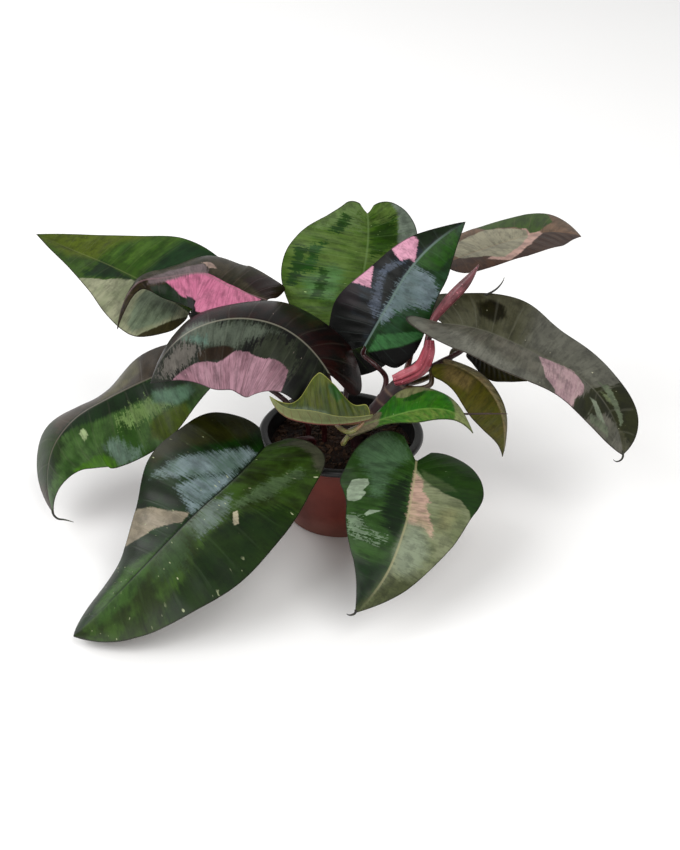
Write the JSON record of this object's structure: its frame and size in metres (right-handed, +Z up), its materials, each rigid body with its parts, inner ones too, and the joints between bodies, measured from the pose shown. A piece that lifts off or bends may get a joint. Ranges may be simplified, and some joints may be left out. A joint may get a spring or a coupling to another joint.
{
  "type": "potted philodendron",
  "caption": "Variegated heart-leaved philodendron in a black grower's pot inside a brick-red pot; a free-standing house plant.",
  "frame": {"origin": "middle of the outer pot's flat foot, which rests on the ground plane", "axes": "+Z up, +X to the right and +Y away from someone in front of the plant, who looks at its wide side"},
  "size_m": [0.4499, 0.3176, 0.2153],
  "materials": {
    "brick_red_plastic": "satin, slightly uneven",
    "black_plastic": "satin, rolled rim",
    "soil": "rough, crumbly potting soil",
    "stem_bark": "dark, smooth",
    "stalk_burgundy": "smooth, burgundy",
    "leaf_green": "green with pale and dark patches, glossy",
    "leaf_dark": "nearly black green with pink patches, glossy",
    "leaf_pink": "half pink, half dark, glossy",
    "leaf_cream": "cream, green and pinkish, satin",
    "leaf_bright": "bright green, satin",
    "leaf_olive": "olive to grey green, satin",
    "sheath_pink": "pink and dark red, satin"
  },
  "bodies": {
    "root": {"grow_pot": "black_plastic", "leaf_back_left": "leaf_green", "leaf_back_middle": "leaf_green", "leaf_back_right": "leaf_cream", "leaf_behind_right": "leaf_olive", "leaf_dark_left": "leaf_dark", "leaf_front_left": "leaf_green", "leaf_front_right": "leaf_green", "leaf_left": "leaf_olive", "leaf_lower_right": "leaf_olive", "leaf_middle": "leaf_dark", "leaf_right": "leaf_olive", "leaf_small_bright": "leaf_bright", "leaf_small_curled": "leaf_bright", "leaf_upper_left": "leaf_pink", "main_stem": "stem_bark", "new_leaf": "sheath_pink", "outer_pot": "brick_red_plastic", "root": "stem_bark", "sheath": "sheath_pink", "soil": "soil", "stalk_back_left": "stalk_burgundy", "stalk_back_middle": "stalk_burgundy", "stalk_back_right": "stalk_burgundy", "stalk_behind_right": "stalk_burgundy", "stalk_dark_left": "stalk_burgundy", "stalk_front_left": "stalk_burgundy", "stalk_front_right": "stalk_burgundy", "stalk_left": "stalk_burgundy", "stalk_lower_right": "stalk_burgundy", "stalk_middle": "stalk_burgundy", "stalk_right": "stalk_burgundy", "stalk_small_bright": "stalk_burgundy", "stalk_small_curled": "stalk_burgundy", "stalk_upper_left": "stalk_burgundy"}
  },
  "joints": []
}
